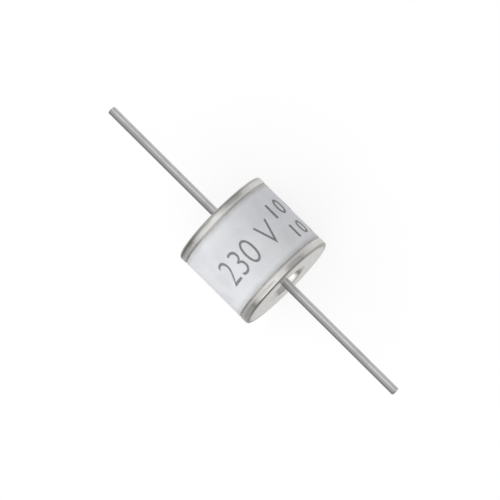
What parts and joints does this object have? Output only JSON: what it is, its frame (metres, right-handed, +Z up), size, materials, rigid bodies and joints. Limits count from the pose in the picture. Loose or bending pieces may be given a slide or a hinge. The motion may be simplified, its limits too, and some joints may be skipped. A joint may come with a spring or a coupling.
{
  "type": "gas discharge tube",
  "caption": "Gas discharge tube surge arrester: a white ceramic tube closed by a metal electrode flange at each end, with straight axial wire leads.",
  "frame": {"origin": "centre of the ceramic tube, on the axis of the leads", "axes": "+X along the leads towards the right one, +Z up with the tube lying on its side"},
  "size_m": [0.029, 0.008, 0.008],
  "materials": {
    "ceramic": "fired alumina, satin white",
    "electrode_metal": "nickel plated, bright",
    "braze": "silver braze, dull",
    "emission_coating": "fired paste, matt",
    "graphite": "graphite, matt",
    "tinned_wire": "tinned copper wire, satin"
  },
  "bodies": {
    "root": {"ceramic_tube": "ceramic", "left_electrode": "electrode_metal", "right_electrode": "electrode_metal", "left_braze_ring": "braze", "right_braze_ring": "braze", "left_emission_coating": "emission_coating", "right_emission_coating": "emission_coating", "ignition_strips": "graphite", "left_lead": "tinned_wire", "right_lead": "tinned_wire"}
  },
  "joints": []
}
